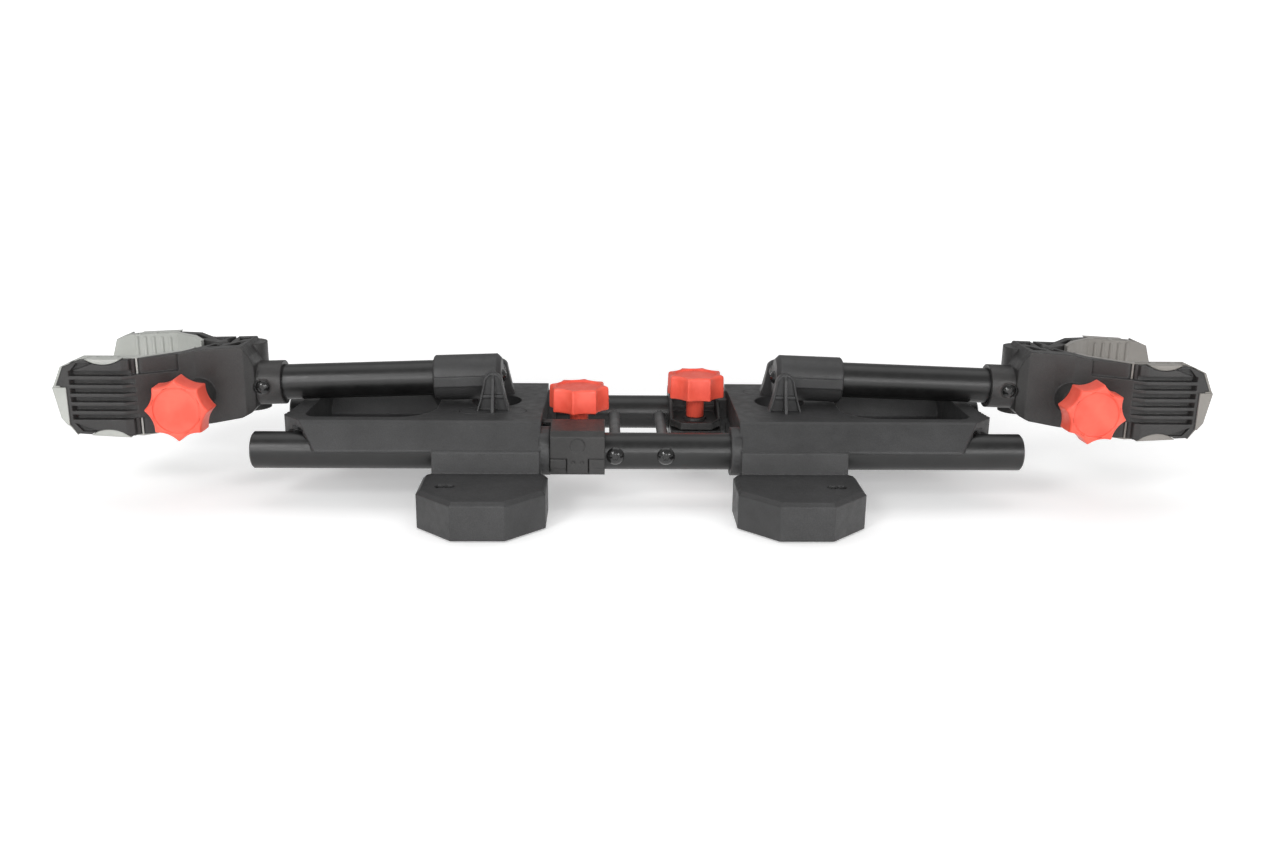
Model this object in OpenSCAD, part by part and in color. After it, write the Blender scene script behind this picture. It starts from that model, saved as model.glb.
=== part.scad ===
// Folding bench-top work cradle with two arms on a pair of tube rails.
// Millimetres. X runs along the rails, -Y is the front, Z = 0 is the bench.
// The arms are drawn folded down and out, as the cradle is stored.

/* [Rails] */
// Length of each rail tube
rail_l = 521; // [500:1:560]
// Outside diameter of the rails and of the arm tubes
tube_d = 25; // [25:0.1:25.2]
// Wall of the steel tube
tube_wall = 1.5; // [1.2:0.1:2]
// Distance between the two rail axes
rail_gap = 106; // [105:0.5:107]
// Height of the rail axes above the bench
rail_z = 36.5; // [36.5:0.1:37]
// Diameter of the cross rods between the rails
rod_d = 8; // [7:0.5:9]
// Distance of each cross rod from the middle
rod_x = 17; // [15:0.5:18]

/* [Bases] */
// Distance from the middle to the inner end of a base
base_in = 67; // [66.5:0.5:67.5]
// Distance from the middle to the outer corner of a base
base_out = 242; // [240:0.5:244]
// Height of the flat deck
deck_z = 58; // [57.5:0.5:58]
// Depth of the deck, front to back
deck_w = 112; // [110:1:114]
// Depth over the lower edge of the sloping side walls
skirt_w = 139; // [138:0.5:140]
// Width of a leg along the rail
leg_w = 72; // [70:0.5:74]
// Foot octagon, across flats
foot_af = 82.5; // [80:0.5:84]
// Distance from the middle plane to a foot's centre
foot_y = 91.2; // [90:0.2:92]
// Height of a foot
foot_h = 26; // [25:0.5:26]

/* [Arms] */
// Distance from the middle to an arm's hinge
pivot_x = 101.5; // [101:0.5:102]
// Height of the arm hinge
pivot_z = 76.2; // [76:0.1:76.6]
// Droop of a folded arm, in degrees
arm_tilt = 2; // [1.6:0.1:2.1]
// Outside diameter of the sleeve on an arm's lower end
sleeve_d = 32; // [31:0.5:32]
// Length of the sleeve
sleeve_l = 47.5; // [46:0.5:48]

/* [Heads] */
// Height of the jaws
jaw_h = 54; // [53:0.5:55]
// Distance from the arm's axis to the outer face of a jaw
jaw_y = 47; // [46:0.5:48]
// Thickness of a jaw's rubber pad
pad_t = 7; // [6:0.5:7.5]
// Distance along the arm from its hinge to the jaw screw
screw_u = 202; // [200:0.5:203]

/* [Knobs] */
// Diameter over a knob's eight points
knob_d = 43.5; // [42:0.5:44]
// Thickness of a knob's grip
knob_t = 17; // [15:0.5:17]
// Length of a knob's stem
stem_l = 15; // [14:0.5:15]
// Diameter of a knob's stem
stem_d = 13; // [12:0.5:14]

/* [Hidden] */
$fn = 48;

plastic = [0.26, 0.26, 0.27];
steel_black = [0.10, 0.10, 0.11];
screw_black = [0.06, 0.06, 0.06];
rod_grey = [0.44, 0.43, 0.42];
red = [0.93, 0.35, 0.28];
pad_grey = [0.68, 0.69, 0.66];
rubber = [0.12, 0.12, 0.12];
zinc = [0.65, 0.66, 0.67];

tube_r = tube_d / 2;
rail_y = rail_gap / 2;
eps = 0.01;
fit = 0.05;              // radial running clearance
gap = 0.4;               // clearance between mouldings that pass each other

leg_x = base_in + leg_w / 2;
skirt_z = deck_z - 17;
wall = 3;
leg_out = 73;            // half depth over the legs' lower edge
tray_in = 141;
tray_out = 228;
tray_w = 93.2;
tray_floor = 30.2;
socket_d = 35.4;
rim_arc = 249;           // radius of the hollow outer end
rim_mid = base_out - 3.4;
corner_y = 41;           // where the outer end meets the slanted corner

ear_h = 26;
ear_y = 21;              // inner face of each ear
pin_d = 6;
sleeve_u = -4.5;         // inner end of the sleeve, measured from the hinge
tube_u = -0.5;           // inner end of the arm tube

clamp_in = 24;
clamp_out = 60.5;
clamp_x = (clamp_in + clamp_out) / 2;
clamp_y = 19.4;
split_z = 35;
shelf_z = 40.3;
nut_d = 19;
clamp_boss = 2;          // raised ring under a clamp's knob
tongue_z = 25;           // lower end of the clamp's hanging tongue
knuckle_y = 67.5;        // axis that a clamp's lower half turns on
knuckle_d = 3;

collar_in = 149;
collar_d = 31;
collar_bolt_u = 161.5;
body_u = 166;
throat_u = 196;
throat_y = 2;            // room below the middle for a jaw that is swung in
bend_u = 234;            // where the jaws stop splaying and run straight
tip_u = 291;
far_tip_u = 283;
screw_w = -2.5;          // height of the jaw screw against the body's centre
hinge_u = 177;
hinge_y = 11.5;
hinge_r = 10.4;
cheek_z = -21;           // lower end of the cheeks round a jaw's hinge pin
boss_y = 38.5;
stud_d = 8;

// ---------- placing ----------

// Turns a right-hand piece round the vertical axis to make the left one
module turned(left) {
  rotate([0, 0, left ? 180 : 0]) children();
}

// Mirrors a right-hand piece to make the left one
module flipped(left) {
  mirror([left ? 1 : 0, 0, 0]) children();
}

// Arm frame: origin on the hinge, X out along the arm
module on_arm(left) {
  flipped(left) translate([pivot_x, 0, pivot_z]) rotate([0, arm_tilt, 0]) children();
}

// Head frame: level, meeting the arm's axis at the head's inner end
module on_head(left) {
  flipped(left) translate([pivot_x + body_u * (cos(arm_tilt) - 1), 0,
                           pivot_z - body_u * sin(arm_tilt)]) children();
}

// Cylinder along X
module along_x(d, x0, x1) {
  translate([x0, 0, 0]) rotate([0, 90, 0]) cylinder(d = d, h = x1 - x0);
}

// Cylinder along Y
module along_y(d, y0, y1) {
  translate([0, y1, 0]) rotate([90, 0, 0]) cylinder(d = d, h = y1 - y0);
}

// Extrudes an outline in Y and Z along X
module extrude_x(x0, x1) {
  translate([x0, 0, 0]) rotate([90, 0, 90]) linear_extrude(x1 - x0) children();
}

// Extrudes an outline in X and Z along Y
module extrude_y(y0, y1) {
  translate([0, y1, 0]) rotate([90, 0, 0]) linear_extrude(y1 - y0) children();
}

// Octagonal prism with a chamfered top edge
module octagon_block(af, z0, z1, edge) {
  intersection_for(a = [0, 45, 90, 135])
    rotate([0, 0, a]) extrude_x(-af, af)
      polygon([[-af / 2, z0], [af / 2, z0], [af / 2, z1 - edge], [af / 2 - edge, z1],
               [edge - af / 2, z1], [-af / 2, z1 - edge]]);
}

// ---------- rails ----------

module rail(y) {
  color(steel_black) translate([0, y, rail_z]) difference() {
    along_x(tube_d, 1 - rail_l / 2, rail_l / 2 - 1);
    along_x(tube_d - 2 * tube_wall, -rail_l, rail_l);
    for (x = [-rod_x, rod_x]) translate([x, 0, 0]) along_y(5.2, -tube_d, tube_d);
  }
}

module front_rail() { rail(-rail_y); }
module rear_rail() { rail(rail_y); }

module rail_end_plugs() {
  color(rubber) for (y = [-rail_y, rail_y], a = [0, 180])
    translate([0, y, rail_z]) rotate([0, 0, a]) {
      difference() {
        rotate([0, 90, 0]) rotate_extrude()
          polygon([[0, rail_l / 2 - 14], [tube_r - tube_wall, rail_l / 2 - 14],
                   [tube_r - tube_wall, rail_l / 2 - 1], [tube_r, rail_l / 2 - 1],
                   [tube_r - 1, rail_l / 2], [tube_r - 3, rail_l / 2],
                   [tube_r - 3.6, rail_l / 2 - 0.6], [0, rail_l / 2 - 0.6]]);
        along_x(tube_d - 2 * tube_wall - 4, rail_l / 2 - 20, rail_l / 2 - 3);
      }
    }
}

module cross_rods() {
  color(rod_grey) for (x = [-rod_x, rod_x]) translate([x, 0, rail_z]) difference() {
    along_y(rod_d, -rail_y, rail_y);
    for (y = [-rail_y, rail_y]) translate([0, y, 0]) along_x(tube_d, -rod_d, rod_d);
    for (a = [0, 180]) rotate([0, 0, a]) along_y(5.1, rail_y - tube_r - 18, rail_y);
  }
}

// Domed screw along -Y with a six-lobed drive, its seat at y = 0
module lobed_screw(head_d, head_h, shank_d, shank_l) {
  sphere_r = (head_d * head_d / 4 + head_h * head_h) / (2 * head_h);
  difference() {
    union() {
      intersection() {
        along_y(head_d, -head_h, 0);
        translate([0, sphere_r - head_h, 0]) sphere(r = sphere_r);
      }
      along_y(shank_d, 0, shank_l);
    }
    translate([0, 1.8 - head_h, 0]) {
      along_y(head_d * 0.3, -head_h, 0);
      for (a = [0:60:300]) rotate([0, a, 0]) translate([head_d * 0.15, 0, 0])
        along_y(head_d * 0.12, -head_h, 0);
    }
  }
}

module rod_screws() {
  color(screw_black) for (x = [-rod_x, rod_x], a = [0, 180])
    rotate([0, 0, a]) translate([x, -rail_y - tube_r, rail_z]) lobed_screw(12, 3.6, 5, 40);
}

// ---------- bases ----------

// Cross section over the side walls, drawn in by the given amount
module skirt_section(inset) {
  top = deck_z - inset;
  low = inset > 0 ? skirt_z - 20 : skirt_z - 1.5;
  half_top = deck_w / 2 - inset;
  half_low = skirt_w / 2 - inset;
  polygon([[0.8 - half_top, top], [half_top - 0.8, top], [half_top + 1, top - 1.3],
           [half_low, skirt_z], [half_low, low], [-half_low, low], [-half_low, skirt_z],
           [-half_top - 1, top - 1.3]]);
}

// Plan of the base with its slanted corners and hollow outer end
module base_plan(inset) {
  out = base_out - inset;
  corner = corner_y - inset * 0.4;
  low_half = skirt_w / 2;
  slant = 0.905;
  difference() {
    polygon([[base_in, -low_half - 1], [out - (low_half + 1 - corner) * slant, -low_half - 1],
             [out, -corner], [out, corner],
             [out - (low_half + 1 - corner) * slant, low_half + 1], [base_in, low_half + 1]]);
    translate([rim_mid - inset + rim_arc, 0]) circle(r = rim_arc, $fn = 96);
  }
}

// Rounded plan of the tray, grown by the given amount
module tray_plan(grow) {
  x0 = tray_in - grow;
  x1 = tray_out + grow;
  half = tray_w / 2 + grow;
  r0 = 26 + grow;
  r1 = 9 + grow;
  translate([x0 + r0, -half]) square([x1 - r1 - x0 - r0, 2 * half]);
  translate([x0, r0 - half]) square([r0 + eps, 2 * (half - r0)]);
  translate([x1 - r1 - eps, r1 - half]) square([r1 + eps, 2 * (half - r1)]);
  for (s = [-1, 1]) {
    translate([x0 + r0, s * (half - r0)]) circle(r = r0);
    translate([x1 - r1, s * (half - r1)]) circle(r = r1);
  }
}

// Cross section of the tray, which narrows to pass between the rails
module tray_section(grow) {
  top = tray_w / 2;
  floor_z = tray_floor - grow;
  polygon([[-top - grow, deck_z + 1], [top + grow, deck_z + 1], [top + grow, 55.6],
           [top - 2.3 + grow * 0.95, 52.3], [top - 10.1 + grow * 1.05, 38.3],
           [top - 10.1 + grow * 1.05, floor_z], [10.1 - top - grow * 1.05, floor_z],
           [10.1 - top - grow * 1.05, 38.3], [2.3 - top - grow * 0.95, 52.3],
           [-top - grow, 55.6]]);
}

// Ear outline seen from the front, narrowed by the given amount
module ear_outline(inset) {
  polygon([[-11.4 + inset, 0], [11.4 - inset, 0], [9.2 - inset, 7], [7.4 - inset, 15],
           [6.5 - inset, ear_h - 6.5], [inset - 6.5, ear_h - 6.5], [inset - 7.4, 15],
           [inset - 9.2, 7]]);
  translate([0, ear_h - 6.5]) circle(r = 6.5 - inset);
}

// One ear, with its flat face at y = 0 and its ribs towards -Y
module ear() {
  difference() {
    union() {
      extrude_y(-4.5, 0) ear_outline(0);
      intersection() {
        extrude_y(-12, 0) difference() {
          ear_outline(0);
          ear_outline(1.3);
        }
        extrude_x(-15, 15)
          polygon([[0, 0], [-8.5, 0], [-7, 14], [-6.2, ear_h - 3], [-4, ear_h], [0, ear_h]]);
      }
      intersection() {
        translate([-1.1, -20, 0]) cube([2.2, 20, ear_h]);
        extrude_x(-15, 15)
          polygon([[0, 0], [-15, 0], [-14, 3], [-8.5, 14], [-7, ear_h - 4], [-3, ear_h],
                   [0, ear_h]]);
      }
      intersection() {
        extrude_y(-6.8, 0) ear_outline(0.5);
        translate([-12, -12, 8.5]) cube([24, 12, 2.4]);
      }
    }
    translate([0, 0, pivot_z - deck_z]) along_y(pin_d + 2 * fit, -3.6, 1);
  }
}

// Stadium shaped plate that carries the separate ear
module insert_plate(grow) {
  translate([-14.3, -8.5 - grow]) square([28.6, 17 + 2 * grow]);
  for (x = [-14.3, 14.3]) translate([x, 0]) circle(r = 8.5 + grow);
}

insert_y = 29.5;         // centre of the insert plate

module leg_wall(side) {
  mirror([0, side < 0 ? 1 : 0, 0]) extrude_x(base_in + 0.5, base_in + leg_w)
    polygon([[skirt_w / 2 - 3, skirt_z], [skirt_w / 2 + 0.9, skirt_z],
             [skirt_w / 2 + 1.7, skirt_z - 1.2], [leg_out, foot_h], [leg_out, foot_h - 3],
             [leg_out - 5, foot_h - 3], [leg_out - 4.5, foot_h]]);
}

// Bearing wall between the deck and the foot, with the rail through it
module bearing_wall(x0, x1) {
  extrude_x(x0, x1) for (s = [0, 1]) mirror([s, 0]) {
    polygon([[0, deck_z - 13], [0, deck_z - 1], [deck_w / 2 - 1, deck_z - 1],
             [skirt_w / 2 - 1, skirt_z], [leg_out - 2, foot_h - 2], [66, 19.5], [37, 19.5],
             [37, deck_z - 13]]);
  }
}

module foot(side) {
  translate([leg_x, side * foot_y, 0]) difference() {
    octagon_block(foot_af, 1, foot_h, 2.4);
    difference() {
      octagon_block(foot_af - 6, -1, foot_h - 3, 1);
      translate([-60, side > 0 ? -60 : foot_y - 71.5, 19.4])
        cube([120, 60 + 71.5 - foot_y, 10]);
    }
    translate([-60, side > 0 ? -60 : foot_y - 68.5, 22.6])
      cube([120, 60 + 68.5 - foot_y, 10]);
  }
}

module base(left) {
  color(plastic) turned(left) difference() {
    union() {
      // deck and side walls
      difference() {
        intersection() {
          extrude_x(base_in, base_out + 5) skirt_section(0);
          linear_extrude(100) base_plan(0);
        }
        difference() {
          intersection() {
            extrude_x(base_in + 4, base_out + 5) skirt_section(wall);
            linear_extrude(100) base_plan(wall);
          }
          translate([0, 0, skirt_z + 3]) linear_extrude(40) tray_plan(2.4);
        }
        translate([0, 0, -eps]) linear_extrude(skirt_z + 3 + 2 * eps) intersection() {
          base_plan(wall);
          translate([base_in + 4, -58]) square([200, 116]);
        }
      }
      // tray
      intersection() {
        linear_extrude(deck_z) intersection() {
          tray_plan(2.4);
          base_plan(0);
        }
        extrude_x(tray_in - 5, base_out) tray_section(2.4);
      }
      // legs, feet and bearing walls
      for (s = [-1, 1]) {
        leg_wall(s);
        foot(s);
      }
      bearing_wall(base_in, base_in + 4);
      bearing_wall(base_in + leg_w - 4, base_in + leg_w);
      // collars round the rails
      for (s = [-1, 1]) translate([0, s * rail_y, rail_z]) along_x(33, 61, base_in + 1);
      // socket for the upright arm
      translate([pivot_x, 0, deck_z - 14]) cylinder(d = socket_d + 5, h = 13);
      // fixed ear and the seat for the separate one
      translate([pivot_x, -ear_y, deck_z - eps]) ear();
      translate([pivot_x, insert_y, deck_z - 7]) linear_extrude(6) insert_plate(2);
    }
    // rails, arches at the slanted corners and the hollow under the tray's corners
    for (s = [0, 1]) mirror([0, s, 0]) translate([0, rail_y, rail_z]) {
      along_x(tube_d + 2 * fit, 0, base_out + 10);
      along_x(27.4, base_in + leg_w + eps, base_out + 10);
      intersection() {
        along_x(33, 212, base_out + 10);
        translate([200, -3.8, -30]) cube([60, 9.8, 60]);
      }
    }
    // tray pocket
    intersection() {
      linear_extrude(deck_z + 5) tray_plan(0);
      extrude_x(tray_in - 5, base_out) tray_section(0);
    }
    // arm socket
    translate([pivot_x, 0, 20]) cylinder(d = socket_d, h = 60);
    // seat of the separate ear
    translate([pivot_x, insert_y, deck_z - 4]) linear_extrude(10) insert_plate(0.3);
    translate([pivot_x, insert_y, 20]) cylinder(d = 6.1, h = 60);
    // sawteeth on the outer edge
    for (s = [-1, 1], i = [0:6]) translate([base_out - 0.9 - 0.38 * i, s * (37 - 4.2 * i), deck_z])
      rotate([0, -12, 0]) along_y(1.7, -0.9, 0.9);
    // keyholes in the feet
    for (s = [-1, 1], x = [-2.9, 2.9]) translate([126.8 + x, s * 99.5, 10])
      cylinder(r = 4, h = 20, $fn = 6);
  }
}

module left_base() { base(true); }
module right_base() { base(false); }

module foot_pads(left) {
  color(rubber) turned(left) for (s = [-1, 1])
    translate([leg_x, s * foot_y, 0]) octagon_block(foot_af - 6.4, 0, 4, 0.5);
}

module left_foot_pads() { foot_pads(true); }
module right_foot_pads() { foot_pads(false); }

module ear_insert(left) {
  color(plastic) turned(left) translate([pivot_x, 0, deck_z]) {
    difference() {
      union() {
        translate([0, ear_y, -eps]) rotate([0, 0, 180]) ear();
        translate([0, insert_y, -4]) linear_extrude(4) insert_plate(0);
        translate([0, insert_y, -12]) cylinder(d = 6, h = 9);
      }
      translate([0, 0, -20]) cylinder(d = socket_d, h = 19.9);
    }
  }
}

module left_ear_insert() { ear_insert(true); }
module right_ear_insert() { ear_insert(false); }

// Hinge pin of an arm with a spacer beside each ear
module pivot_pin(left) {
  color(zinc) turned(left) translate([pivot_x, 0, pivot_z]) {
    along_y(pin_d, -ear_y - 3.3, ear_y + 3.3);
    for (a = [0, 180]) rotate([0, 0, a]) along_y(11, ear_y - 3.3, ear_y - 0.3);
  }
}

module left_pivot_pin() { pivot_pin(true); }
module right_pivot_pin() { pivot_pin(false); }

// ---------- rail clamps ----------

// Outline of the clamp in Y and Z above its split
module clamp_upper_section() {
  polygon([[69.5, split_z + 0.6], [69.5, 50.5], [66.5, 54], [45, 56.5], [41.8, 54],
           [40.4, 44], [40.4, split_z + 0.6]]);
}

module clamp_shelf_plan() {
  polygon([[clamp_in, 42], [clamp_in, 12], [clamp_in + 7, 0], [clamp_out - 7, 0],
           [clamp_out, 12], [clamp_out, 42]]);
}

module rail_clamp(left) {
  color(plastic) turned(left) {
    difference() {
      union() {
        extrude_x(clamp_in, clamp_out) clamp_upper_section();
        translate([0, 0, split_z + 2]) linear_extrude(shelf_z - split_z - 2)
          clamp_shelf_plan();
        // raised rim and side fins of the shelf
        difference() {
          translate([0, 0, shelf_z - 1]) linear_extrude(2.6) clamp_shelf_plan();
          translate([clamp_x, 0, 0]) linear_extrude(60)
            polygon([[-16.25, 45], [-16.25, 12.5], [-10.25, 2], [10.25, 2], [16.25, 12.5],
                     [16.25, 45]]);
        }
        for (x = [clamp_in, clamp_out - 2]) extrude_x(x, x + 2)
          polygon([[41, shelf_z], [41, 54], [36, 54], [16, 44], [12, shelf_z]]);
        translate([clamp_x, clamp_y, shelf_z - 1]) cylinder(d = 17, h = 1 + clamp_boss);
        // neck that ties the clamp to the base
        translate([clamp_out - 1, 29, split_z + 3]) cube([base_in - clamp_out + 1, 7, 14]);
      }
      translate([0, rail_y, rail_z]) along_x(tube_d + 2 * fit, 0, 100);
      translate([clamp_x, clamp_y, 0]) cylinder(d = stud_d + 2 * fit, h = 80);
      // groove that the lower half turns in
      translate([0, knuckle_y, split_z]) along_x(knuckle_d + 2 * fit, 0, 100);
      // shallow round mark on the outer face
      translate([clamp_x, 0, 44.5]) along_y(10, 69, 80);
    }
    // tongue that hangs between the blocks of the lower half
    difference() {
      translate([clamp_x - 7, 66.1, tongue_z]) cube([14, 3.4, split_z + 3 - tongue_z]);
      for (x = [-3, 3]) translate([clamp_x + x, 0, 33]) along_y(2.4, 69, 80);
    }
  }
}

module left_rail_clamp() { rail_clamp(true); }
module right_rail_clamp() { rail_clamp(false); }

module clamp_jaw(left) {
  color(plastic) turned(left) difference() {
    union() {
      extrude_x(clamp_in, clamp_out)
        polygon([[69.5, split_z], [69.5, 29], [64, 23], [42, 21], [36, 24], [6, 24],
                 [4, 26], [4, split_z]]);
      translate([0, knuckle_y, split_z]) along_x(knuckle_d, clamp_in, clamp_out);
    }
    translate([0, rail_y, rail_z]) along_x(tube_d + 2 * fit, 0, 100);
    translate([0, rail_y - 11, rail_z + 3]) along_x(tube_d - 2, 0, 100);
    // room for the upper half's tongue
    translate([clamp_x - 7.6, 64.6, 10]) cube([15.2, 10, 40]);
    // clearance for the screw and the hex pocket of the nut
    translate([clamp_x, clamp_y, 0]) cylinder(d = stud_d + 3.4, h = 80);
    translate([clamp_x, clamp_y, 0]) cylinder(d = nut_d + 0.3, h = 30.5, $fn = 6);
  }
}

module left_clamp_jaw() { clamp_jaw(true); }
module right_clamp_jaw() { clamp_jaw(false); }

module clamp_nut(left) {
  color(zinc) turned(left) translate([clamp_x, clamp_y, 0]) difference() {
    translate([0, 0, 24.1]) cylinder(d = nut_d, h = 6.4, $fn = 6);
    cylinder(d = stud_d + 3.4, h = 80);
  }
}

module left_clamp_nut() { clamp_nut(true); }
module right_clamp_nut() { clamp_nut(false); }

// Threaded stud, drawn as a plain rod, pointing to -Z from the grip
module stud(len) {
  translate([0, 0, -len]) cylinder(d = stud_d, h = len + stem_l + knob_t / 2);
}

// Grip with eight points and hollow sides, its stem standing on z = 0
module star_knob() {
  far = knob_d * 0.836;
  scoop = knob_d * 0.426;
  difference() {
    union() {
      cylinder(d = stem_d, h = stem_l + 1);
      translate([0, 0, stem_l]) difference() {
        rotate_extrude()
          polygon([[0, 0], [knob_d / 2 - 1.5, 0], [knob_d / 2, 1.5],
                   [knob_d / 2 - 0.4, knob_t - 1.6], [knob_d / 2 - 2, knob_t], [0, knob_t]]);
        for (a = [0:45:315]) rotate([0, 0, a]) translate([far, 0, -1])
          cylinder(r = scoop, h = knob_t + 2);
      }
    }
    translate([0, 0, stem_l + knob_t - 0.7]) cylinder(d = knob_d * 0.71, h = 1);
    translate([0, 0, -1]) cylinder(d = stud_d, h = 1 + stem_l + knob_t / 2);
  }
}

// Puts a knob or stud on the clamp's screw axis
module on_clamp_screw(left) {
  turned(left) translate([clamp_x, clamp_y, shelf_z + clamp_boss + 0.1]) rotate([0, 0, 22.5])
    children();
}

module left_clamp_stud() { color(zinc) on_clamp_screw(true) stud(19.5); }
module right_clamp_stud() { color(zinc) on_clamp_screw(false) stud(19.5); }
module left_clamp_knob() { color(red) on_clamp_screw(true) star_knob(); }
module right_clamp_knob() { color(red) on_clamp_screw(false) star_knob(); }

// ---------- arms ----------

sleeve_end = sleeve_u + sleeve_l;

module sleeve(left) {
  r = sleeve_d / 2;
  color(plastic) on_arm(left) difference() {
    union() {
      rotate([0, 90, 0]) rotate_extrude()
        polygon([[0, sleeve_u], [r - 3, sleeve_u], [r, sleeve_u + 3], [r, sleeve_end - 1],
                 [r - 1, sleeve_end], [0, sleeve_end]]);
      intersection() {
        translate([sleeve_u + 2, -17, -3.5]) cube([sleeve_l - 2, 34, 7]);
        linear_extrude(20, center = true)
          polygon([[sleeve_u, -15], [sleeve_u + 4, -17], [sleeve_end - 1, -17],
                   [sleeve_end, -15], [sleeve_end, 15], [sleeve_end - 1, 17],
                   [sleeve_u + 4, 17], [sleeve_u, 15]]);
      }
    }
    along_x(tube_d + 2 * fit, tube_u, 100);
    along_y(pin_d + 2 * fit, -40, 40);
    along_x(4, -20, 0);
  }
}

module left_sleeve() { sleeve(true); }
module right_sleeve() { sleeve(false); }

module sleeve_bolt(left) {
  color(screw_black) on_arm(left) translate([sleeve_u, 0, 0]) rotate([0, 0, -90])
    lobed_screw(9.6, 3.2, 4, 1.2);
}

module left_sleeve_bolt() { sleeve_bolt(true); }
module right_sleeve_bolt() { sleeve_bolt(false); }

module arm_tube(left) {
  color(steel_black) on_arm(left) difference() {
    along_x(tube_d, tube_u, 163.5);
    along_x(tube_d - 2 * tube_wall, -10, 200);
    along_y(pin_d + 2 * fit, -40, 40);
    translate([collar_bolt_u, 0, 0]) along_y(5.2, -20, 0);
  }
}

module left_arm_tube() { arm_tube(true); }
module right_arm_tube() { arm_tube(false); }

// ---------- heads ----------

// Front view of the body and the near jaw, drawn in at the tip by the given amount
module near_side(inset) {
  h = jaw_h / 2;
  e = inset * 0.6;
  polygon([[body_u, -14], [169, -17.5], [175, -20.5], [throat_u, 3 - h], [230, e - h - 1.5],
           [tip_u - 13, 1 - h + e], [tip_u - 4 - inset, -14], [tip_u - inset, 7],
           [tip_u - 6 - inset, h - 6], [tip_u - 17, h - 1 - e], [214, h - 1],
           [throat_u, h + 1.5], [173, h + 2.5], [168.5, h - 5], [body_u, 15]]);
}

// Front view of the far jaw
module far_side(inset) {
  h = jaw_h / 2;
  e = inset * 0.6;
  tip = far_tip_u;
  polygon([[body_u, -22], [175, -h], [tip - 13, e - h], [tip - 4 - inset, -14],
           [tip - inset, 7], [tip - 5 - inset, h - 3 - e], [tip - 12, h - e], [215, h + 3],
           [206, h + 1], [188, h + 2], [173, h + 1], [body_u, 20]]);
}

// Plan of a pad against its jaw, drawn for the far jaw: splayed, then straight
module pad_plan(tip, grow) {
  face = jaw_y - 2 * pad_t;
  seat = jaw_y - pad_t + grow;
  polygon([[208 - grow, 6], [bend_u, face], [tip, face], [tip, seat], [bend_u + 3, seat],
           [208 - grow, 12 + grow]]);
}

// Middle part of a jaw's tip, which the pad's lip wraps
module tip_wrap(tip, grow) {
  translate([tip - 5 - grow, jaw_y - pad_t - 1, -20 - grow])
    cube([7, pad_t + 1 + 2 * grow, 28 + 2 * grow]);
}

// Ribbed outer face: the grooves between four bars and two edge lands
module rib_grooves(tip) {
  for (z = [-13.5:6:16.5]) translate([0, 0, z - 1.8]) linear_extrude(3.6)
    polygon([[238, jaw_y + 5], [238, jaw_y - 5], [246, jaw_y - 4.6], [tip - 13, jaw_y - 4.6],
             [tip - 9, jaw_y + 5]]);
}

module head(left) {
  h = jaw_h / 2;
  color(plastic) difference() {
    union() {
      on_arm(left) along_x(collar_d, collar_in, 175);
      on_head(left) {
        intersection() {
          extrude_y(-60, 30) near_side(1.8);
          linear_extrude(100, center = true)
            polygon([[body_u - 3, -14.5], [172, -20.5], [190, -23], [203, -24],
                     [245, -jaw_y], [tip_u, -jaw_y], [tip_u, pad_t - jaw_y],
                     [bend_u + 3, pad_t - jaw_y], [208, -12], [throat_u, -throat_y],
                     [185.4, -throat_y], [186, 22], [172, 21], [body_u - 3, 14.5]]);
        }
        translate([screw_u, 0, screw_w]) along_y(22, -boss_y, -15);
        // round cheeks that hold the far jaw's hinge pin
        translate([hinge_u - 0.5, hinge_y + 1.5, cheek_z]) cylinder(r = 12.5, h = h - cheek_z);
      }
    }
    // tube and its bolt
    on_arm(left) {
      along_x(tube_d + 2 * fit, 100, 163.6);
      translate([collar_bolt_u, 0, 0]) {
        along_y(5.1, -30, 0);
        along_y(11.6, -30, -14.2);
      }
    }
    on_head(left) {
      // jaw screw
      translate([screw_u, 0, screw_w]) along_y(stud_d + 2 * fit, -80, 30);
      // room for the far jaw's knuckle
      translate([hinge_u, hinge_y, -16.2]) cylinder(r = hinge_r + gap, h = 32.4);
      translate([hinge_u, hinge_y, -16.2]) cube([40, 30, 32.4]);
      translate([hinge_u + 2, 0.8 - throat_y, -16.2]) cube([12, 30, 32.4]);
      translate([hinge_u + 9.6, 2, -40]) cube([40, 40, 80]);
      translate([hinge_u, hinge_y, -40]) cylinder(d = 5, h = 80);
      // pad seat
      mirror([0, 1, 0]) {
        linear_extrude(100, center = true) pad_plan(tip_u + 1, 0);
        tip_wrap(tip_u, 0.2);
        rib_grooves(tip_u);
      }
      for (s = [0, 1]) mirror([0, 0, s]) {
        // triangular hollows near the tip
        extrude_y(-60, 2.5 - jaw_y) polygon([[263, 23.5], [274, 23.5], [279, 17.5]]);
        // step along the edge, from the body to the scallop
        translate([0, 0, 15]) linear_extrude(30)
          polygon([[213, -60], [213, -26.6], [240, -41.4], [242, -60]]);
        // scallop that shows the pad's tab
        translate([257, -60, h + 16]) rotate([-90, 0, 0]) cylinder(r = 21, h = 30);
      }
      // hollows in the body's upper face
      translate([0, 0, h - 1.5]) linear_extrude(10) {
        polygon([[174.5, 17], [184, 17], [181, 4]]);
        polygon([[175, 0], [179, 1], [187, -12], [177, -12]]);
        polygon([[188, -3], [194.5, -3.5], [199, -13], [190, -13]]);
      }
    }
  }
}

module left_head() { head(true); }
module right_head() { head(false); }

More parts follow.
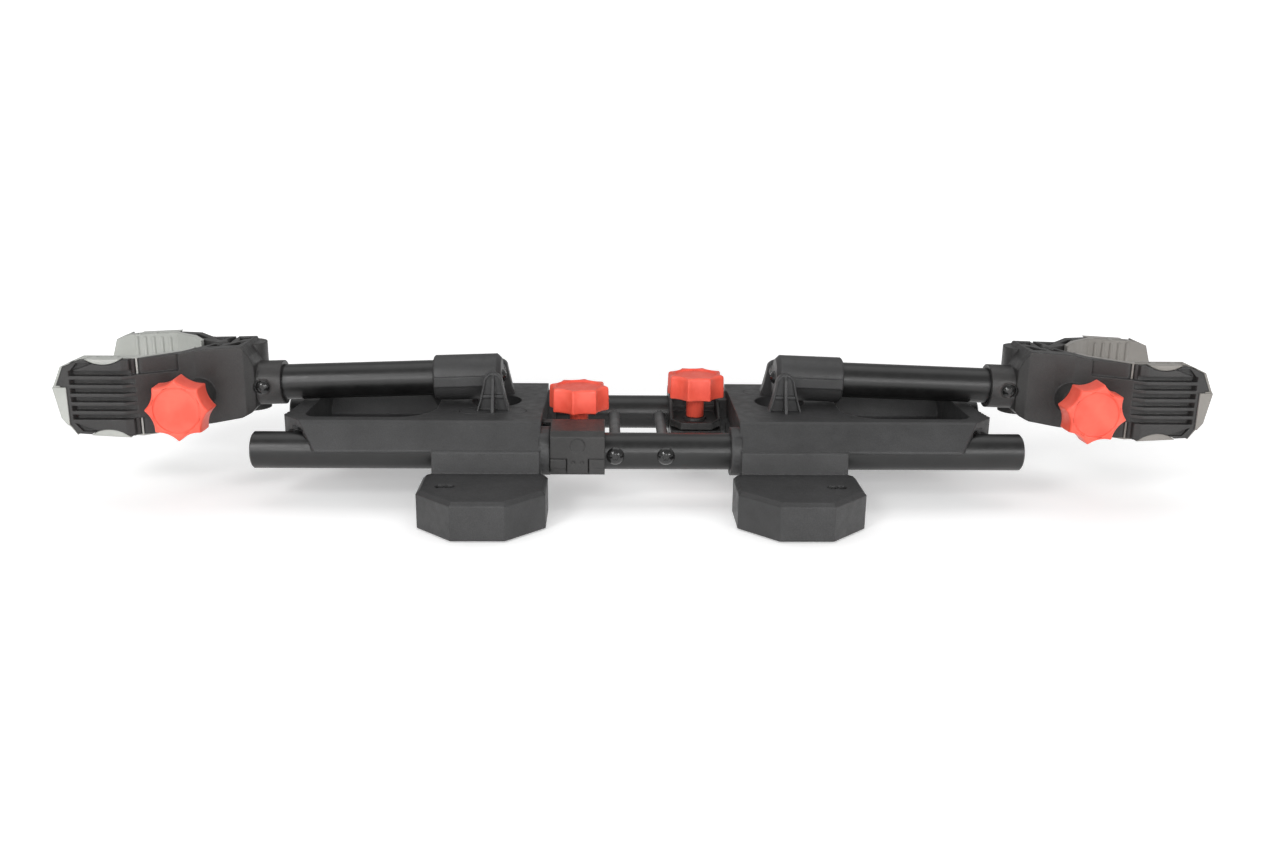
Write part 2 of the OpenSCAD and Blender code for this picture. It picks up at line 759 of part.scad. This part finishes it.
module collar_bolt(left) {
  color(screw_black) on_arm(left) translate([collar_bolt_u, -14.2, 0]) difference() {
    union() {
      intersection() {
        along_y(9.5, -3.4, 0);
        translate([0, 2.4, 0]) sphere(r = 5.9);
      }
      along_y(5, 0, 10);
    }
    translate([0, -1.4, 0]) rotate([90, 0, 0]) cylinder(d = 4.6, h = 10, $fn = 6);
  }
}

module left_collar_bolt() { collar_bolt(true); }
module right_collar_bolt() { collar_bolt(false); }

// Rubber liner of a jaw, drawn for the far jaw: it wraps the tip and ends in a lip.
// Its children are the jaw's front view, whole and drawn in by the rim's width
module pad_shape(tip) {
  h = jaw_h / 2;
  face = jaw_y - 2 * pad_t;
  intersection() {
    union() {
      difference() {
        linear_extrude(100, center = true) pad_plan(tip, -0.1);
        // pockets along the upper and lower edges
        for (s = [0, 1], i = [0:2]) mirror([0, 0, s])
          translate([bend_u + 5 + 14 * i, face + 2, h - 3]) cube([11, pad_t - 3.6, 20]);
      }
      tip_wrap(tip, 0);
      translate([tip - 9, jaw_y + 0.1, -19]) cube([9, 0.9, 26]);
      translate([tip - 4.9, jaw_y - 1, -19]) cube([4.9, 2, 26]);
      // tabs that fill the scallops of the shell
      for (s = [0, 1]) mirror([0, 0, s]) translate([tip - 34, face + pad_t - 1, h + 16])
        rotate([-90, 0, 0]) cylinder(r = 20.7, h = pad_t);
    }
    extrude_y(0, 60) children(0);
  }
  // rim that shows round the tip of the shell
  intersection() {
    extrude_y(jaw_y - pad_t - 1, jaw_y - 0.4) difference() {
      children(0);
      children(1);
    }
    translate([tip - 13, 0, -50]) cube([20, 60, 100]);
  }
}

module near_pad(left) {
  color(pad_grey) on_head(left) difference() {
    mirror([0, 1, 0]) pad_shape(tip_u) {
      near_side(0);
      near_side(1.6);
    }
    translate([screw_u, 0, screw_w]) along_y(stud_d + 2, -80, 30);
  }
}

module left_near_pad() { near_pad(true); }
module right_near_pad() { near_pad(false); }

module far_jaw(left) {
  h = jaw_h / 2;
  color(plastic) on_head(left) difference() {
    union() {
      translate([hinge_u, hinge_y, -15.8]) cylinder(r = hinge_r, h = 31.6);
      intersection() {
        extrude_y(-60, 60) far_side(1.8);
        linear_extrude(100, center = true)
          polygon([[hinge_u + 11, 2], [throat_u, 2], [208, 12], [bend_u + 3, jaw_y - pad_t],
                   [far_tip_u, jaw_y - pad_t], [far_tip_u, jaw_y], [245, jaw_y],
                   [203, 24], [throat_u, 23], [hinge_u + 11, 21.5]]);
      }
      translate([hinge_u, 2, -15.8]) cube([14, 19.5, 31.6]);
    }
    // clear of the cheeks
    for (z = [-40, 15.8]) translate([hinge_u, hinge_y, z]) cylinder(r = 14, h = 24.2);
    translate([hinge_u, hinge_y, -40]) cylinder(d = 5.1, h = 80);
    // slot for the jaw screw and the nut's seat
    translate([screw_u - 6.4, -30, screw_w - stud_d / 2 - 0.6]) cube([12.8, 80, stud_d + 1.2]);
    translate([screw_u, 0, screw_w]) along_y(19.2, 16, 46);
    linear_extrude(100, center = true) pad_plan(far_tip_u + 1, 0);
    tip_wrap(far_tip_u, 0.2);
    rib_grooves(far_tip_u);
    for (s = [0, 1]) mirror([0, 0, s])
      translate([far_tip_u - 34, 20, h + 16]) rotate([-90, 0, 0]) cylinder(r = 21, h = 40);
    // hollows in the upper face
    translate([0, 0, h]) linear_extrude(10) {
      polygon([[192, 18], [203, 19], [195, 8]]);
      polygon([[207, 19], [219, 26], [210, 12.5]]);
    }
  }
}

module left_far_jaw() { far_jaw(true); }
module right_far_jaw() { far_jaw(false); }

module far_pad(left) {
  color(pad_grey) on_head(left) difference() {
    union() {
      pad_shape(far_tip_u) {
        far_side(0);
        far_side(1.6);
      }
      // ridges across the gripping face
      for (i = [0:4]) translate([bend_u + 5.5 + 6 * i, jaw_y - 2 * pad_t, 1 - jaw_h / 2])
        cylinder(r = 1.2, h = jaw_h - 2);
    }
    translate([screw_u - 6.6, -30, screw_w - stud_d / 2 - 1]) cube([13.2, 80, stud_d + 2]);
  }
}

module left_far_pad() { far_pad(true); }
module right_far_pad() { far_pad(false); }

module jaw_pin(left) {
  h = jaw_h / 2;
  color(zinc) on_head(left) translate([hinge_u, hinge_y, cheek_z + 0.5])
    cylinder(d = 5, h = h - 3 - cheek_z);
}

module left_jaw_pin() { jaw_pin(true); }
module right_jaw_pin() { jaw_pin(false); }

module jaw_nut(left) {
  color(zinc) on_head(left) translate([screw_u, 16.1, screw_w]) rotate([-90, 0, 0]) difference() {
    cylinder(d = 19, h = 6);
    translate([0, 0, -1]) cylinder(d = 13, h = 8);
  }
}

module left_jaw_nut() { jaw_nut(true); }
module right_jaw_nut() { jaw_nut(false); }

// Puts a knob or stud on the jaw screw, pointing to the front
module on_jaw_screw(left) {
  on_head(left) translate([screw_u, -boss_y - 1.6, screw_w]) rotate([90, 0, 0]) children();
}

module left_jaw_stud() { color(zinc) on_jaw_screw(true) stud(64); }
module right_jaw_stud() { color(zinc) on_jaw_screw(false) stud(64); }
module left_jaw_knob() { color(red) on_jaw_screw(true) rotate([0, 0, 22.5]) star_knob(); }
module right_jaw_knob() { color(red) on_jaw_screw(false) rotate([0, 0, 12.5]) star_knob(); }

module jaw_washer(left) {
  color(zinc) on_jaw_screw(left) translate([0, 0, -1.5]) difference() {
    cylinder(d = 16, h = 1.4);
    translate([0, 0, -1]) cylinder(d = stud_d + 0.6, h = 4);
  }
}

module left_jaw_washer() { jaw_washer(true); }
module right_jaw_washer() { jaw_washer(false); }

front_rail();
rear_rail();
rail_end_plugs();
cross_rods();
rod_screws();
left_base();
right_base();
left_foot_pads();
right_foot_pads();
left_ear_insert();
right_ear_insert();
left_pivot_pin();
right_pivot_pin();
left_rail_clamp();
right_rail_clamp();
left_clamp_jaw();
right_clamp_jaw();
left_clamp_nut();
right_clamp_nut();
left_clamp_stud();
right_clamp_stud();
left_clamp_knob();
right_clamp_knob();
left_sleeve();
right_sleeve();
left_sleeve_bolt();
right_sleeve_bolt();
left_arm_tube();
right_arm_tube();
left_head();
right_head();
left_collar_bolt();
right_collar_bolt();
left_near_pad();
right_near_pad();
left_far_jaw();
right_far_jaw();
left_far_pad();
right_far_pad();
left_jaw_pin();
right_jaw_pin();
left_jaw_nut();
right_jaw_nut();
left_jaw_stud();
right_jaw_stud();
left_jaw_washer();
right_jaw_washer();
left_jaw_knob();
right_jaw_knob();
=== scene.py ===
"""Looks of the folding twin-arm work cradle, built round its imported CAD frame."""
import math

import bmesh
import bpy
from mathutils import Matrix, Vector


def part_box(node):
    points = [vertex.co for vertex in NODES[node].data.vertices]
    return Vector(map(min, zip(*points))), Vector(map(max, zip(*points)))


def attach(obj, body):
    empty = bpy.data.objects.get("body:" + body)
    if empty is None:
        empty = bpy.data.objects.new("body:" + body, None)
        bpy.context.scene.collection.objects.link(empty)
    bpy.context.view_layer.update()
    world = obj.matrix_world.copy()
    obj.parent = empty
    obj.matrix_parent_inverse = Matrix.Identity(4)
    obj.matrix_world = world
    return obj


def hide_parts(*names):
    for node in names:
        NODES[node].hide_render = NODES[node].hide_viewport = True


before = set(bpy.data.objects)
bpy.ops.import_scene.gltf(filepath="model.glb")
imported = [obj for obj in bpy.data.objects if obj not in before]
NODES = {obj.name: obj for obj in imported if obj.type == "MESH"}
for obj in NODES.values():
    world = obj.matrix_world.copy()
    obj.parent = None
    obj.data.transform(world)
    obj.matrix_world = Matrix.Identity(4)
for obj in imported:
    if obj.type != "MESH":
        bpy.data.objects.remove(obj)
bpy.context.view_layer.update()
MM = 0.001


# ---------------------------------------------------------------- materials

def new_material(name):
    """An empty node material, with its tree and its shader."""
    material = bpy.data.materials.new(name)
    material.use_nodes = True
    tree = material.node_tree
    shader = tree.nodes["Principled BSDF"]
    return material, tree, shader


def add(tree, kind, **settings):
    """Adds a node. Settings name its properties, or its inputs with _ for a space."""
    node = tree.nodes.new(kind)
    for key, value in settings.items():
        if hasattr(node, key):
            setattr(node, key, value)
        else:
            node.inputs[key.replace("_", " ")].default_value = value
    return node


def object_point(tree):
    """The point in the part's own frame, which doesn't slide when the camera moves."""
    return tree.nodes.new("ShaderNodeTexCoord").outputs["Object"]


def noise(tree, scale, detail=3.0, rough=0.5):
    node = add(tree, "ShaderNodeTexNoise", Scale=scale, Detail=detail, Roughness=rough)
    tree.links.new(object_point(tree), node.inputs["Vector"])
    return node.outputs["Fac"]


def ramp(tree, value, low, high, at=(0.35, 0.65)):
    """Maps a factor to a range of greys or colours."""
    node = tree.nodes.new("ShaderNodeValToRGB")
    for element, place, colour in zip(node.color_ramp.elements, at, (low, high)):
        element.position = place
        element.color = (*colour, 1.0) if len(colour) == 3 else colour
    tree.links.new(value, node.inputs["Fac"])
    return node.outputs["Color"]


def grey(level):
    return (level, level, level)


def bump(tree, heights, shader, edge=0.0):
    """Stacks bumps, given as (value, distance in metres, strength), onto the shader.

    An edge radius in metres makes sharp moulded edges catch the light as if rounded."""
    last = None
    if edge:
        last = add(tree, "ShaderNodeBevel", samples=6, Radius=edge).outputs["Normal"]
    for value, distance, strength in heights:
        node = add(tree, "ShaderNodeBump", Strength=strength, Distance=distance)
        tree.links.new(value, node.inputs["Height"])
        if last is not None:
            tree.links.new(last, node.inputs["Normal"])
        last = node.outputs["Normal"]
    tree.links.new(last, shader.inputs["Normal"])


def moulded_plastic(name, dark, light, roughness):
    """Dark moulded plastic with a spark-eroded grain, faint cloudiness and edges that catch
    the light as if rounded.
    """
    material, tree, shader = new_material(name)
    speckle = noise(tree, 2600, 2.0)
    cloud = noise(tree, 38, 4.0)
    base = ramp(tree, speckle, dark, light)
    mix = add(tree, "ShaderNodeMix", data_type="RGBA", blend_type="MULTIPLY")
    mix.inputs[0].default_value = 1.0
    tree.links.new(base, mix.inputs[6])
    tree.links.new(ramp(tree, cloud, grey(0.80), grey(1.18), (0.3, 0.7)), mix.inputs[7])
    tree.links.new(mix.outputs[2], shader.inputs["Base Color"])
    gloss = ramp(tree, noise(tree, 160, 3.0), grey(roughness - 0.05), grey(roughness + 0.07))
    tree.links.new(gloss, shader.inputs["Roughness"])
    bump(tree, [(speckle, 0.0002, 0.35), (noise(tree, 900, 2.0), 0.0003, 0.16)], shader,
         edge=0.0014)
    return material


def powder_coat(name):
    """Satin black powder coat with its fine orange peel."""
    material, tree, shader = new_material(name)
    peel = noise(tree, 1500, 2.0)
    tree.links.new(ramp(tree, noise(tree, 60, 3.0), grey(0.006), grey(0.010)),
                   shader.inputs["Base Color"])
    tree.links.new(ramp(tree, noise(tree, 240, 3.0), grey(0.30), grey(0.37)),
                   shader.inputs["Roughness"])
    bump(tree, [(peel, 0.0001, 0.12)], shader)
    shader.inputs["Specular IOR Level"].default_value = 0.55
    return material


def gloss_black(name, roughness):
    """Black oxide or painted screw heads."""
    material, tree, shader = new_material(name)
    tree.links.new(ramp(tree, noise(tree, 300, 3.0), grey(0.006), grey(0.014)),
                   shader.inputs["Base Color"])
    tree.links.new(ramp(tree, noise(tree, 700, 3.0), grey(roughness), grey(roughness + 0.08)),
                   shader.inputs["Roughness"])
    bump(tree, [(noise(tree, 1800, 2.0), 0.00005, 0.1)], shader)
    shader.inputs["Coat Weight"].default_value = 0.4
    shader.inputs["Coat Roughness"].default_value = 0.12
    return material


def brushed_metal(name, level, roughness, metallic=1.0):
    """Turned or plated steel with fine scratches."""
    material, tree, shader = new_material(name)
    tree.links.new(ramp(tree, noise(tree, 120, 4.0), grey(level * 0.85), grey(level * 1.1)),
                   shader.inputs["Base Color"])
    tree.links.new(ramp(tree, noise(tree, 900, 3.0), grey(roughness - 0.05),
                        grey(roughness + 0.1)), shader.inputs["Roughness"])
    shader.inputs["Metallic"].default_value = metallic
    bump(tree, [(noise(tree, 2400, 2.0), 0.00005, 0.2)], shader)
    return material


def red_plastic(name):
    """Smooth satin red plastic with the faintest flow clouds."""
    material, tree, shader = new_material(name)
    cloud = noise(tree, 70, 3.0)
    tree.links.new(ramp(tree, cloud, (0.80, 0.085, 0.050), (0.90, 0.120, 0.075)),
                   shader.inputs["Base Color"])
    tree.links.new(ramp(tree, noise(tree, 400, 3.0), grey(0.36), grey(0.46)),
                   shader.inputs["Roughness"])
    shader.inputs["Subsurface Weight"].default_value = 0.06
    shader.inputs["Subsurface Radius"].default_value = (0.004, 0.0015, 0.001)
    bump(tree, [(noise(tree, 1700, 2.0), 0.0001, 0.07)], shader)
    return material


def soft_rubber(name, dark, light):
    """Light grey soft rubber: dusty, matt, slightly mottled."""
    material, tree, shader = new_material(name)
    fine = noise(tree, 1900, 2.0)
    tree.links.new(ramp(tree, noise(tree, 45, 4.0), dark, light, (0.25, 0.75)),
                   shader.inputs["Base Color"])
    tree.links.new(ramp(tree, noise(tree, 300, 3.0), grey(0.55), grey(0.68)),
                   shader.inputs["Roughness"])
    shader.inputs["Subsurface Weight"].default_value = 0.05
    shader.inputs["Subsurface Radius"].default_value = (0.003, 0.003, 0.003)
    shader.inputs["Sheen Weight"].default_value = 0.15
    bump(tree, [(fine, 0.0002, 0.12)], shader, edge=0.0012)
    return material


PLASTIC = moulded_plastic("moulded_plastic", grey(0.024), (0.042, 0.042, 0.043), 0.46)
HEAD_PLASTIC = moulded_plastic("head_plastic", grey(0.020), (0.037, 0.035, 0.034), 0.42)
COAT = powder_coat("powder_coat")
SCREW = gloss_black("black_screw", 0.16)
PLUG = gloss_black("plug_plastic", 0.28)
ROD = brushed_metal("grey_rod", 0.17, 0.42, 0.6)
ZINC = brushed_metal("zinc_steel", 0.55, 0.32)
RED = red_plastic("red_plastic")
LEFT_PAD = soft_rubber("left_pad_rubber", (0.35, 0.36, 0.335), (0.43, 0.44, 0.415))
RIGHT_PAD = soft_rubber("right_pad_rubber", (0.205, 0.193, 0.178), (0.262, 0.248, 0.228))
BLACK_RUBBER = soft_rubber("black_rubber", grey(0.012), grey(0.022))

LOOK = {
    "front_rail": COAT, "rear_rail": COAT, "rail_end_plugs": PLUG,
    "cross_rods": ROD, "rod_screws": SCREW,
    "base": PLASTIC, "ear_insert": PLASTIC, "foot_pads": BLACK_RUBBER,
    "rail_clamp": HEAD_PLASTIC, "clamp_jaw": HEAD_PLASTIC,
    "clamp_nut": ZINC, "clamp_stud": ZINC, "clamp_knob": RED,
    "pivot_pin": ZINC, "sleeve": PLASTIC, "sleeve_bolt": SCREW, "arm_tube": COAT,
    "head": HEAD_PLASTIC, "collar_bolt": SCREW, "far_jaw": HEAD_PLASTIC,
    "jaw_pin": ZINC, "jaw_nut": ZINC, "jaw_stud": ZINC, "jaw_washer": ZINC,
    "jaw_knob": RED,
}


def kind_of(node):
    """A node's name without its side."""
    return node.split("_", 1)[1] if node.startswith(("left_", "right_")) else node


def look_of(node):
    if node.endswith("_pad"):
        return LEFT_PAD if node.startswith("left") else RIGHT_PAD
    return LOOK[kind_of(node)]


# ---------------------------------------------------------------- CAD nodes

# Edge rounding of each kind of node, in millimetres
ROUNDING = {"base": 0.7, "ear_insert": 0.4, "rail_clamp": 0.7, "clamp_jaw": 0.7,
            "sleeve": 0.8, "head": 0.7, "far_jaw": 0.7, "near_pad": 0.8, "far_pad": 0.8,
            "foot_pads": 0.5}


def soften(node, width):
    """Rounds a CAD node's edges with modifiers only, so its mesh stays as packed."""
    weld = node.modifiers.new("weld", "WELD")
    weld.merge_threshold = 0.00001
    bevel = node.modifiers.new("bevel", "BEVEL")
    bevel.width = width * MM
    bevel.segments = 3
    bevel.limit_method = "ANGLE"
    bevel.angle_limit = math.radians(28)
    bevel.harden_normals = True


for name, node in NODES.items():
    node.data.materials.clear()
    node.data.materials.append(look_of(name))
    for polygon in node.data.polygons:
        polygon.material_index = 0
    if kind_of(name) in ROUNDING:
        soften(node, ROUNDING[kind_of(name)])


# ---------------------------------------------------------------- knobs

CUSPS = 8
STEPS = CUSPS * 24
# Sizes of a knob, in millimetres
KNOB_R = 21.6
STEM_R = 6.5
STEM_L = 15.0
GRIP = 17.0
BORE_R = 4.1
DISH_R = KNOB_R * 0.70


def cusp_radius(angle):
    """Outline of the grip for an outer radius of one: hollow sides and rounded points."""
    far, scoop, soft = 1.674, 0.851, 0.022
    total = 0.0
    for side in range(CUSPS):
        turn = (angle - side * math.tau / CUSPS + math.pi) % math.tau - math.pi
        reach = far * math.sin(turn)
        if abs(turn) < math.tau / CUSPS and abs(reach) < scoop:
            edge = far * math.cos(turn) - math.sqrt(scoop ** 2 - reach ** 2)
            total += math.exp(-edge / soft)
    return -soft * math.log(total) * 1.014


OUTLINE = [cusp_radius(math.tau * i / STEPS) for i in range(STEPS)]


def knob_rings():
    """Rings of a knob from the end of its bore, down its mouth, up the stem and over the grip.

    Each ring is (whether it follows the lobed outline, radius or inset from it, height)."""
    top = STEM_L + GRIP
    bore = [(BORE_R, STEM_L), (BORE_R, 0.0)]
    stem = [(STEM_R - 0.5, 0.0), (STEM_R, 0.5), (STEM_R - 0.15, STEM_L - 1.6),
            (STEM_R + 0.4, STEM_L - 0.5), (STEM_R + 1.6, STEM_L)]
    lobed = [(2.2, 0.0), (0.7, 0.25), (0.15, 0.8), (0.0, 1.6), (0.12, GRIP * 0.5),
             (0.3, GRIP - 2.2), (0.5, GRIP - 1.3), (1.0, GRIP - 0.5), (1.7, GRIP - 0.1),
             (2.3, GRIP)]
    dish = [(DISH_R + 1.0, 0.0), (DISH_R + 0.3, 0.04), (DISH_R, 0.25), (DISH_R - 0.12, 0.95),
            (DISH_R - 0.45, 1.2), (DISH_R - 1.1, 1.22), (DISH_R - 4.0, 1.1),
            (DISH_R * 0.4, 1.02)]
    rings = [(False, radius, height) for radius, height in bore + stem]
    rings += [(True, inset, STEM_L + height) for inset, height in lobed]
    rings += [(False, radius, top - depth) for radius, depth in dish]
    return rings


def make_knob(node, matrix, turn):
    """A moulded star knob that stands for a CAD knob."""
    build = bmesh.new()
    loops = []
    for lobed, size, height in knob_rings():
        loop = []
        for i in range(STEPS):
            angle = math.tau * i / STEPS
            r = KNOB_R * OUTLINE[i] - size if lobed else size
            loop.append(build.verts.new((r * math.cos(angle + turn) * MM,
                                         r * math.sin(angle + turn) * MM, height * MM)))
        loops.append(loop)
    for low, high in zip(loops, loops[1:]):
        for i in range(STEPS):
            k = (i + 1) % STEPS
            build.faces.new((low[i], low[k], high[k], high[i]))
    build.faces.new(loops[-1])
    build.faces.new(list(reversed(loops[0])))
    piece = object_from(build, "moulded_" + node, RED, matrix)
    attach(piece, "_".join((node.split("_")[0], "clamp" if "clamp" in node else "jaw",
                             "screw")))
    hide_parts(node)


def object_from(build, name, material, matrix):
    """Turns a bmesh into a smooth-shaded object in the part's frame."""
    bmesh.ops.recalc_face_normals(build, faces=build.faces)
    build.transform(matrix)
    mesh = bpy.data.meshes.new(name)
    build.to_mesh(mesh)
    build.free()
    for polygon in mesh.polygons:
        polygon.use_smooth = True
    mesh.materials.append(material)
    piece = bpy.data.objects.new(name, mesh)
    bpy.context.collection.objects.link(piece)
    return piece


def middle(low, high):
    return [(a + b) / 2 for a, b in zip(low, high)]


for hand in ("left", "right"):
    low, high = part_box(hand + "_clamp_knob")
    x, y, _ = middle(low, high)
    make_knob(hand + "_clamp_knob", Matrix.Translation((x, y, low[2])),
              math.radians(12 if hand == "left" else 4))
    low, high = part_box(hand + "_jaw_knob")
    x, _, z = middle(low, high)
    make_knob(hand + "_jaw_knob", Matrix.Translation((x, high[1], z))
              @ Matrix.Rotation(math.radians(90), 4, "X"),
              math.radians(22.5 if hand == "left" else 12.5))


# ---------------------------------------------------------------- stage

def make_stage():
    """A white table that glows a little, and white studio walls all round."""
    build = bmesh.new()
    bmesh.ops.create_circle(build, cap_ends=True, segments=96, radius=9)
    build.transform(Matrix.Translation((0, 0, -0.0002)))
    material, tree, shader = new_material("table_white")
    tree.links.new(ramp(tree, noise(tree, 3, 2.0), grey(0.84), grey(0.86)),
                   shader.inputs["Base Color"])
    shader.inputs["Roughness"].default_value = 0.85
    shader.inputs["Specular IOR Level"].default_value = 0.1
    shader.inputs["Emission Color"].default_value = (1.0, 1.0, 1.0, 1.0)
    # brighter away from the cradle, so the table runs into the walls without a line
    away = add(tree, "ShaderNodeVectorMath", operation="LENGTH")
    tree.links.new(object_point(tree), away.inputs[0])
    glow = tree.nodes.new("ShaderNodeMapRange")
    for socket, value in (("From Min", 0.35), ("From Max", 1.3), ("To Min", 0.34),
                          ("To Max", 0.95)):
        glow.inputs[socket].default_value = value
    tree.links.new(away.outputs["Value"], glow.inputs["Value"])
    tree.links.new(glow.outputs["Result"], shader.inputs["Emission Strength"])
    floor = object_from(build, "floor", material, Matrix())
    build = bmesh.new()
    bmesh.ops.create_cone(build, cap_ends=True, segments=96, radius1=8.5, radius2=8.5,
                          depth=12)
    material, tree, shader = new_material("wall_white")
    shader.inputs["Base Color"].default_value = (0.9, 0.9, 0.9, 1.0)
    shader.inputs["Emission Color"].default_value = (1.0, 1.0, 1.0, 1.0)
    shader.inputs["Emission Strength"].default_value = 1.0
    walls = object_from(build, "studio_walls", material, Matrix())
    walls.visible_diffuse = False
    walls.visible_glossy = False
    walls.visible_shadow = False


def area_light(name, place, aim, size, power, tint=(1, 1, 1)):
    """A soft box at place, turned to aim."""
    light = bpy.data.lights.new(name, "AREA")
    light.shape = "RECTANGLE"
    light.size, light.size_y = size
    light.energy = power
    light.color = tint
    lamp = bpy.data.objects.new(name, light)
    bpy.context.collection.objects.link(lamp)
    lamp.location = place
    lamp.rotation_euler = (Vector(aim) - Vector(place)).to_track_quat("-Z", "Y").to_euler()


def light_studio():
    """White surroundings, a big soft box overhead and softer ones at the front."""
    world = bpy.data.worlds.new("studio")
    world.use_nodes = True
    background = world.node_tree.nodes["Background"]
    background.inputs["Color"].default_value = (1.0, 1.0, 1.0, 1.0)
    background.inputs["Strength"].default_value = 0.40
    bpy.context.scene.world = world
    area_light("top_box", (0.0, 0.3, 1.8), (0, 0, 0.05), (2.4, 1.3), 9)
    area_light("front_box", (0.0, -2.2, 0.75), (0, 0, 0.05), (3.0, 0.7), 27)
    area_light("left_spark", (-0.9, -1.3, 1.1), (0, 0, 0.05), (0.45, 0.45), 8)
    area_light("right_spark", (1.3, -1.5, 0.7), (0, 0, 0.05), (0.35, 0.35), 5)


def place_camera():
    """The photo's view: low, square on, and slightly above."""
    yaw, pitch, roll = (math.radians(a) for a in (1.72, 15.32, -0.70))
    forward = Vector((math.sin(yaw) * math.cos(pitch), math.cos(yaw) * math.cos(pitch),
                      -math.sin(pitch)))
    level = Vector((math.cos(yaw), -math.sin(yaw), 0))
    upright = level.cross(forward)
    right = math.cos(roll) * level - math.sin(roll) * upright
    up = math.sin(roll) * level + math.cos(roll) * upright
    data = bpy.data.cameras.new("camera")
    data.sensor_width = 36
    data.lens = 33.75
    data.clip_start = 0.01
    camera = bpy.data.objects.new("camera", data)
    bpy.context.collection.objects.link(camera)
    turn = Matrix((right, up, -forward)).transposed()
    camera.matrix_world = Matrix.Translation((-0.0238, -0.8360, 0.2683)) @ turn.to_4x4()
    bpy.context.scene.camera = camera


make_stage()
light_studio()
place_camera()
bpy.context.scene.view_settings.view_transform = "Standard"
